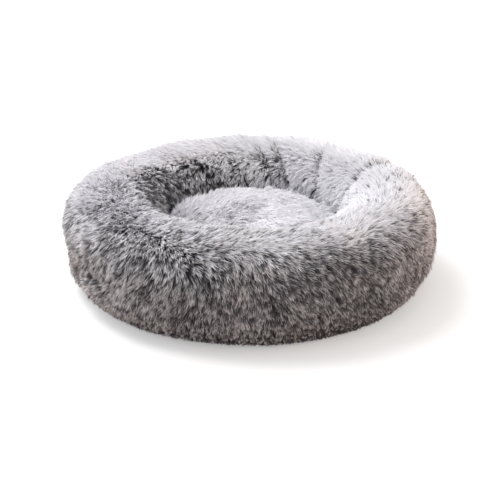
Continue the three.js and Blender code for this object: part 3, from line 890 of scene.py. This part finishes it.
def lumps(points, seed):
    """How far loose fibre falls short of its bag: three sizes of noise, from 0 to the deepest lump."""
    share = soft_noise(points, (0.5, 0.03, seed), (0.3, 0.012, seed + 1), (0.2, 0.005, seed + 2))
    return fibre_lump_depth * (0.5 + 0.5 * share)


def loose_fibre(tree):
    """Crimped fibre: a wave pulled about by noise, plus coarser noise."""
    crimps = new_node(
        tree, "TexWave", object_place(tree), Scale=fibre_crimps, Distortion=26, Detail=5, Detail_Scale=1.6
    )
    tufts = worked_out(tree, "MULTIPLY", object_noise(tree, fibre_tufts, 6), 0.55)
    return worked_out(tree, "MULTIPLY_ADD", crimps.outputs[1], 0.45, tufts)


whole_turn = np.linspace(0, 2 * np.pi, 72, endpoint=False) + bag_seam_along
filling_grid = grid_of(turns, (whole_turn - hem_end) % (2 * np.pi) + hem_end)
filling_section = partial(bag_section, depth=liner_thickness + layer_gap)
filling = ring_point(*filling_grid, section=filling_section)
filling = ring_point(*filling_grid, -lumps(filling, 71), section=filling_section)
ring_fibre = closed_sweep("ring_filling", filling)
fluff = cloth_material(
    "loose_fibre", loose_fibre, *fibre_colours, depth=0.0012, roughness=0.9, Sheen_Weight=0.3
)
sewn_in(ring_fibre, fluff, "ring_fibre")


# The pad's inner cover: a cap of the same nonwoven under the pad's plush, sewn in at the same seam. It
# keeps the filling in when the plush is taken off.
cap_faces = [pad_point(*dome_grid, inset=inset) for inset in (bag_inset, bag_inset + liner_thickness)]
sewn_in(closed_dome("pad_inner_cover", *cap_faces), nonwoven, "pad_liner")


# The pad's filling: the same fibre. It fills the dome, swells out under the seam against the ring's bag,
# and rests on the bag's bottom.
foot_top = 0.0441
foot_reach = 0.020
foot_inner_radius = 0.120
fibre_inset = bag_inset + liner_thickness + layer_gap


def softened(corners, passes=3):
    """An open line with its corners rounded: each pass cuts every corner at a quarter of its two sides."""
    line = np.array(corners, float)
    for _ in range(passes):
        near, far = line[:-1], line[1:]
        cut = np.stack([0.75 * near + 0.25 * far, 0.25 * near + 0.75 * far], axis=1)
        line = np.concatenate([line[:1], cut.reshape(-1, 2), line[-1:]])
    return line


foot_corners = [
    (foot_inner_radius, liner_floor),
    (pad_radius + foot_reach, liner_floor),
    (pad_radius + foot_reach, foot_top - foot_reach),
    (pad_radius, foot_top),
    (pad_radius - pad_draw_in - fibre_inset, foot_top),
]
foot = softened(foot_corners)
foot_points = on_turn(pad_turns[:, None], foot[:, 0], foot[:, 1])
foot_points += unit(foot_points * [1, 1, 0]) * -lumps(foot_points, 81)[..., None]
upper_grid = grid_of(pad_turns, dome_angles[dome_angles >= 0])
dome = pad_point(*upper_grid, inset=fibre_inset)
dome = pad_point(*upper_grid, -lumps(dome, 81), inset=fibre_inset)
underside = on_turn(pad_turns[:, None], np.linspace(foot_inner_radius, 0, 12), liner_floor)
pad_fibre = closed_dome("pad_filling", np.concatenate([foot_points[:, 1:], dome], axis=1), underside)
sewn_in(pad_fibre, fluff, "pad_fibre")


# The inner seam's tape: a flat woven tape, laid under the crease between ring and pad. Both covers are
# stitched to it, so the seam doesn't stretch.
seam_tape_bottom = 0.0446
seam_tape_top = 0.0476
seam_tape_middle = 0.13875
seam_tape_half_width = 0.015
seam_ripple = 0.00025
seam_ripples = 31
threads_round_bed = 960
thread_pitch = 0.0011
tape_colours = ((0.055, 0.055, 0.065), (0.19, 0.19, 0.21))


def flat_section(half_width, half_thickness, count=6):
    """The rim of a flat strip with rounded edges: pairs of across and up, once round against the clock."""
    edge = np.linspace(-np.pi / 2, np.pi / 2, count)
    across = half_width - half_thickness + half_thickness * np.cos(edge)
    right = np.stack([across, half_thickness * np.sin(edge)], axis=-1)
    level = np.linspace(half_width, -half_width, 7)[1:-1]
    upper = np.stack([level, np.full_like(level, half_thickness)], axis=-1)
    return np.concatenate([right, upper, -right, -upper])


def object_axes(tree):
    """The X, Y and Z of a place in the bed's own metres, as outputs."""
    return new_node(tree, "SeparateXYZ", object_place(tree)).outputs


def sine(tree, value, waves):
    """The output of a node that gives the sine of a value times its waves, in radians to the metre."""
    return worked_out(tree, "SINE", worked_out(tree, "MULTIPLY", value, waves))


def herringbone(tree):
    """Slanted ridges in bands of turning slant: a sine of the way round the bed, in threads, plus the way
    out from its axis, folded to and fro."""
    axes = object_axes(tree)
    turn = worked_out(tree, "ARCTAN2", axes["Y"], axes["X"])
    outward = worked_out(tree, "MULTIPLY", from_middle(tree), 2 * math.pi / thread_pitch)
    bands = worked_out(tree, "PINGPONG", outward, 4 * math.pi)
    ridges = worked_out(tree, "SINE", worked_out(tree, "MULTIPLY_ADD", turn, threads_round_bed, bands))
    worn = worked_out(tree, "MULTIPLY_ADD", object_noise(tree, 160), 0.35, 0.32)
    return worked_out(tree, "MULTIPLY_ADD", ridges, 0.32, worn)


strip = flat_section(seam_tape_half_width, (seam_tape_top - seam_tape_bottom) / 2)
ripple = seam_ripple * np.sin(seam_ripples * turns)[:, None]
strip_height = (seam_tape_bottom + seam_tape_top) / 2 + strip[:, 1] + ripple
strip_points = on_turn(turns[:, None], seam_tape_middle + strip[:, 0], strip_height)
tape_weave = cloth_material("woven_tape", herringbone, *tape_colours, depth=0.0003, roughness=0.8)
sewn_in(closed_sweep("inner_seam_binding", strip_points), tape_weave, "inner_seam_tape")


# The inner bag's bottom: a disc of nonwoven between the filling and the base cloth. It is sewn to the
# ring's bag underneath, and lies there a little wrinkled.
disc_radius = 0.2308
disc_bottom = 0.0022
disc_out = np.linspace(disc_radius - liner_thickness / 2, 0, 26)
wrinkles = soft_noise(on_turn(pad_turns[:, None], disc_out, 0.0), (0.00012, 0.03, 91))
wrinkles[:, -1] = 0
disc_faces = [
    on_turn(pad_turns[:, None], disc_out, height + wrinkles)
    for height in (disc_bottom + liner_thickness, disc_bottom)
]
sewn_in(closed_dome("inner_bag_bottom", *disc_faces), nonwoven, "liner_base")


# The base cloth: coated Oxford, flat on the floor and drawn up at its rim to the zip. It hangs a little
# between its grip dots, and its raw edge is turned in.
base_flat_height = 0.001
base_thickness = 0.0008
base_lower = tape_face + base_thickness
base_sag = 0.00025
mean_sag = 0.4  # of that
level_start = 0.9  # of the radius at which the cloth reaches the floor, with closer steps outside it
steps_outside = (0.992, 0.98, 0.95)
oxford_pitch = 0.0013
oxford_colours = ((0.035, 0.035, 0.04), (0.12, 0.12, 0.13))


def cone_radius(height, down):
    """The radius at which the zip's cone, moved that far down square to itself, is at a height."""
    return zip_radius + down / math.sin(zip_slope) - (zip_height - height) / math.tan(zip_slope)


def base_side(face, flat_height):
    """Points of one face of the base cloth, from its edge at the zip down the cone and in to the axis."""
    edge = zip_point(-edge_out(turns), face)
    bend = cone_radius(flat_height, face)
    share = np.linspace(0, 1, 9)
    inwards = np.concatenate([steps_outside, np.linspace(level_start, 0, 30)]) * bend
    level = (turn_count, len(inwards))
    radius = edge[0][:, None] * (1 - share) + bend * share
    radius = np.concatenate([radius, np.broadcast_to(inwards, level)], axis=1)
    height = edge[1][:, None] * (1 - share) + flat_height * share
    height = np.concatenate([height, np.full(level, flat_height)], axis=1)
    hanging = soft_noise(on_turn(turns[:, None], radius, 0.0), (1, 0.035, 95)) - mean_sag
    hanging = base_sag * hanging * ramp(-radius, -bend, -level_start * bend)
    hanging[:, -1] = 0
    return on_turn(turns[:, None], radius, height + hanging)


def oxford_weave(tree):
    """A basket weave: the product of a sine of X and a sine of Y, uneven by noise."""
    axes = object_axes(tree)
    threads = [sine(tree, axes[axis], 2 * math.pi / oxford_pitch) for axis in "XY"]
    weave = worked_out(tree, "MULTIPLY", *threads)
    uneven = worked_out(tree, "MULTIPLY_ADD", object_noise(tree, 220), 0.5, 0.25)
    return worked_out(tree, "MULTIPLY_ADD", weave, 0.35, uneven)


base_upper_face = base_side(tape_face, base_flat_height + base_thickness)
base_piece = closed_dome("base_oxford", base_upper_face, base_side(base_lower, base_flat_height))
oxford = cloth_material("coated_oxford", oxford_weave, *oxford_colours, depth=0.0002, roughness=0.6)
sewn_in(base_piece, oxford, "base_cloth")


# The grip dots: drops of soft black rubber printed on the base cloth. Every fifth ring has large ones that
# stand on the floor, and small ones fill the field between them. None lies under the label.
dot_pitch = 0.009
large_every = 5
large_rings = 5
more_each_ring = 6
large_dot = (0.003, 0.0021, 0.001)  # radius at the cloth, radius at the tip, height
small_dot = (0.0013, 0.0007, 0.00055)
dot_sides = 8
dot_root = 0.0003
dot_shoulder = (0.14, 0.55)  # how far in and how far down to its tip a dot's middle ring lies
dot_colours = ((0.02, 0.02, 0.022), (0.05, 0.05, 0.054))
dotted_radius = 0.2305
label_turn = math.radians(195)
label_half_turn = math.radians(3.5)
label_end = 0.21538


def repeated(name, tube, places, axes):
    """One mesh of a small tube (rings, points, 3) with flat ends, at many places. axes holds the directions
    of the tube's own axes at each."""
    rings, count = tube.shape[:2]
    here = np.arange(rings - 1)[:, None] * count + np.arange(count)[None]
    onward = np.roll(here, -1, axis=1)
    walls = np.stack([here, here + count, onward + count, onward], axis=-1).reshape(-1, 4)
    first = np.stack([np.zeros(count - 2, int), np.arange(1, count - 1), np.arange(2, count)], axis=-1)
    ends = np.concatenate([first, first[:, ::-1] + (rings - 1) * count])
    points = places[:, None] + np.einsum("pc,mcx->mpx", tube.reshape(-1, 3), axes)
    steps = rings * count * np.arange(len(places))[:, None, None]
    walls, ends = (walls + steps).reshape(-1, 4), (ends + steps).reshape(-1, 3)
    return mesh_piece(name, points.reshape(-1, 3), quads=walls, triangles=ends)


def dot_places(pitch, rings):
    """Places in rings round the middle, with so many more in each ring than in the last."""
    ring = np.repeat(np.arange(rings + 1), np.maximum(1, more_each_ring * np.arange(rings + 1)))
    first = np.concatenate([[0], np.cumsum(np.bincount(ring))[:-1]])
    turn = 2 * np.pi * (np.arange(len(ring)) - first[ring]) / np.maximum(1, more_each_ring * ring)
    reach = large_dot[0] + layer_gap
    aside = pitch * ring * (turn_between(turn, label_turn) - label_half_turn)
    under_label = (pitch * ring > label_end - reach) & (aside < reach)
    return on_turn(turn, pitch * ring, 0.0)[~under_label]


def grip_dots(name, places, foot, tip, height):
    """Drops that stand out of the cloth: three rings of points, wide at the cloth and rounded to the tip."""
    around = np.linspace(0, 2 * np.pi, dot_sides, endpoint=False)
    inwards, down = dot_shoulder
    radius = np.array([foot, (1 - inwards) * foot + inwards * tip, tip])[:, None]
    level = np.array([dot_root, -down * height, -height])[:, None]
    upright = np.broadcast_to(np.eye(3), (len(places), 3, 3))
    return repeated(name, on_turn(around, radius, level), places + [0, 0, base_flat_height], upright)


large_places = dot_places(dot_pitch * large_every, large_rings)
small_places = dot_places(dot_pitch, int(dotted_radius / dot_pitch))
to_large = np.linalg.norm(small_places[:, None] - large_places[None], axis=-1).min(1)
small_places = small_places[to_large > large_dot[0] + 2 * small_dot[0]]
rubber = cloth_material("dot_rubber", speckled(700), *dot_colours, depth=0.00008, roughness=0.5)
for kind, places, size in (("large", large_places, large_dot), ("small", small_places, small_dot)):
    sewn_in(grip_dots(f"grip_dots_{kind}", places, *size), rubber, "base_cloth")


# The topstitching: one row of black thread that holds the base cloth's turned edge to the zip's tape. Each
# stitch is the stretch of thread between two holes of the needle.
stitch_pitch = 0.0035
stitch_length = 0.0026
stitch_radius = 0.00026
stitch_sides = 5
stitch_from_zip = 0.0098
thread_colours = ((0.03, 0.03, 0.035), (0.1, 0.1, 0.11))
stitch_rings = np.array([(-0.5, 0.35), (-0.36, 1.0), (0.36, 1.0), (0.5, 0.35)])  # along it, and how thick


def zip_places(turn, out, down):
    """Places along the zip, at distances out along its cone and down square to it."""
    return on_turn(turn, *zip_point(out, down))


def zip_axes(turn):
    """At each turn, the directions round the bed, out along the zip's cone, and down square to it."""
    round_bed = on_turn(turn + np.pi / 2, 1.0, 0.0)
    out = on_turn(turn, math.cos(zip_slope), math.sin(zip_slope))
    down = on_turn(turn, math.sin(zip_slope), -math.cos(zip_slope))
    return np.stack([round_bed, out, down], axis=1)


def capsule(length, radius, sides):
    """A short rod with rounded ends along its first axis: rings of points."""
    around = np.linspace(0, 2 * np.pi, sides, endpoint=False)
    at, thick = stitch_rings[:, :1] * length, stitch_rings[:, 1:] * radius
    return np.stack([at + 0 * around, thick * np.cos(around), -thick * np.sin(around)], axis=-1)


stitch_step = stitch_pitch / (zip_radius - stitch_from_zip)
stitch_turns = np.arange(zip_middle_turn - zip_half_turn, zip_middle_turn + zip_half_turn, stitch_step)
stitches = repeated(
    "base_topstitching",
    capsule(stitch_length, stitch_radius, stitch_sides),
    zip_places(stitch_turns, -stitch_from_zip, base_lower + 0.5 * stitch_radius),
    zip_axes(stitch_turns),
)
thread = cloth_material("thread", speckled(3000), *thread_colours, depth=0.00006, roughness=0.7)
sewn_in(stitches, thread, "base_cloth")


# The binding: a woven strip folded over the raw edges of base and plush, inside, where there is no zip. It
# laps over both ends of the zip's tapes.
binding_first = math.radians(174.3)
binding_last = math.radians(365.7)
binding_reach = 0.008
binding_step = math.radians(1.5)
tape_half_thickness = 0.0003


def sewn_strip(name, first, last, near, far, step):
    """A flat strip along the zip's cone from one turn to another, between two distances from its middle."""
    along = np.linspace(first, last, round((last - first) / step))
    rim = flat_section((far - near) / 2, tape_half_thickness)
    places = zip_places(along[:, None], (near + far) / 2 + rim[:, 0], -rim[:, 1])
    return closed_sweep(name, places, whole=False)


binding = sewn_strip(
    "edge_seam_binding", binding_first, binding_last, -binding_reach, binding_reach, binding_step
)
sewn_in(binding, tape_weave, "edge_binding")


# The zip's tapes: two strips of woven polyester that run a little past the zip's ends. One is stitched to
# the base cloth's edge and the other to the plush's hem.
tape_inner = 0.0029
tape_reach = 0.012
tape_first = math.radians(6)
tape_last = math.radians(174)
tape_step = math.radians(1)
for side, near, far in (("base", -tape_reach, -tape_inner), ("plush", tape_inner, tape_reach)):
    tape = sewn_strip(f"{side}_side_tape", tape_first, tape_last, near, far, tape_step)
    sewn_in(tape, tape_weave, f"zip_tape_{side}_side")


# The zip's coils: nylon monofilament wound into loops. Each loop is a rod bent round a head on the zip's
# middle line, with both legs sewn to the tape. A channel is left for the slider's post.
coil_first = math.radians(19.3)
coil_last = math.radians(160.75)
coil_pitch = 0.0019
coil_path = [(2.75, -0.6), (1.4, -0.66), (0.98, -0.4), (0.9, 0.0), (0.98, 0.4), (1.4, 0.66), (2.75, 0.6)]
filament_half = 0.00033
filament_colours = ((0.05, 0.05, 0.056), (0.11, 0.11, 0.12))
filament_corners = [(1.25, 0), (0, 1), (-1.25, 0), (0, -1)]  # flattened a little where the loops are pressed
loop_shift = 0.25  # of a pitch, by which each side's loops go one way, to lie between the other's


def bent_rod(path, corners, half):
    """A rod bent along a flat path, given in millimetres: each ring of corners lies across the path."""
    path = np.array(path) / 1000
    onward = unit(np.gradient(path, axis=0))
    across = np.stack([-onward[:, 1], onward[:, 0]], axis=-1)
    wide = np.array(corners) * half
    flat = path[:, None] + wide[:, 1:] * across[:, None]
    return np.concatenate([np.broadcast_to(wide[:, :1], (*flat.shape[:2], 1)), flat], axis=-1)


coil_turns = np.arange(coil_first, coil_last, coil_pitch / zip_radius)
nylon = cloth_material("nylon_filament", speckled(500), *filament_colours, depth=0.00005, roughness=0.38)
for side, sign in (("base", -1), ("plush", 1)):
    loop_turns = coil_turns + sign * loop_shift * coil_pitch / zip_radius
    axes = zip_axes(loop_turns)
    axes[:, :2] *= sign
    loop = bent_rod(coil_path, filament_corners, filament_half)
    coil = repeated(f"{side}_side_coil", loop, zip_places(loop_turns, 0.0, 0.0), axes)
    sewn_in(coil, nylon, f"zip_teeth_{side}_side")


# The zip's metal: cast stops, a slider with its bail, and a pull that swings on it. They are tumbled
# smooth and lacquered dark.
casting_grain = 0.0002
tumbling_passes = 5
doubled_within = 1e-6
lacquer_colours = ((0.17, 0.17, 0.18), (0.36, 0.36, 0.38))


def tumbled_casting(node, name):
    """A copy of a CAD node with its doubled corners merged, its surface divided into fine even squares, and
    its edges worn round by averaging each point with its neighbours."""
    shape = bmesh.new()
    shape.from_mesh(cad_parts[node].data)
    bmesh.ops.remove_doubles(shape, verts=shape.verts, dist=doubled_within)
    mesh = bpy.data.meshes.new(name)
    shape.to_mesh(mesh)
    shape.free()
    mesh.materials.clear()
    piece = placed(name, mesh)
    squares = piece.modifiers.new("even_squares", "REMESH")
    given(squares, mode="VOXEL", voxel_size=casting_grain, use_smooth_shade=True)
    given(piece.modifiers.new("tumbling", "SMOOTH"), factor=0.5, iterations=tumbling_passes)
    return piece


lacquer = cloth_material(
    "dark_lacquer", speckled(1200, 8), *lacquer_colours, depth=0.00003, roughness=0.32, Metallic=0.85
)
for node, body in (
    ("zip_top_stop_base_side", "bed"),
    ("zip_top_stop_plush_side", "bed"),
    ("zip_bottom_stop", "bed"),
    ("zip_slider", "slider"),
    ("zip_pull", "pull"),
):
    sewn_in(tumbled_casting(node, f"{node}_cast"), lacquer, node, body)


# The care label: a blank strip of white satin, sewn into the base's seam and hanging free underneath. It
# is folded flat against the base, and waves a little towards its free end.
label_thickness = 0.0004
label_under = base_lower + 0.0004
label_height = 0.0006
label_from_seam = 0.0065
label_wave = 0.00013
label_waves = 420  # in radians to the metre, as are the satin's lines
label_flat_reach = 0.006
satin_lines = 16000.0
satin_colours = ((0.76, 0.76, 0.74), (0.88, 0.88, 0.86))


def label_side(turn, down, height):
    """Points of one face of the label, from the seam down the cone and in to its free end. Its wave is a
    sine that fades in where the label is free."""
    seam = np.array(zip_point(-label_from_seam, down))
    bend = np.array([cone_radius(height, down), height])
    share = np.linspace(0, 1, 12)[:, None]
    line = np.concatenate([seam + (bend - seam) * share, bend + ([label_end, height] - bend) * share[1:]])
    fade = ramp(bend[0] - line[:, 0], 0, label_flat_reach)
    wave = label_wave * np.sin((line[:, 0] - label_end) * label_waves) * fade
    return on_turn(turn[:, None], line[:, 0], line[:, 1] + wave)


def satin_weave(tree):
    """Fine lines across the label: a sine of the distance from the bed's axis along X, with faint noise."""
    lines = sine(tree, object_axes(tree)["X"], satin_lines)
    uneven = worked_out(tree, "MULTIPLY_ADD", object_noise(tree, 300), 0.3, 0.35)
    return worked_out(tree, "MULTIPLY_ADD", lines, 0.3, uneven)


label_turns = np.linspace(label_turn - label_half_turn, label_turn + label_half_turn, 12)
upper = label_side(label_turns, label_under, label_height)
lower = label_side(label_turns, label_under + label_thickness, label_height - label_thickness)
label = closed_sweep("blank_label", upper, lower, whole=False)
satin = cloth_material(
    "white_satin", satin_weave, *satin_colours, depth=0.00004, roughness=0.35, Sheen_Weight=0.3
)
sewn_in(label, satin, "care_label")
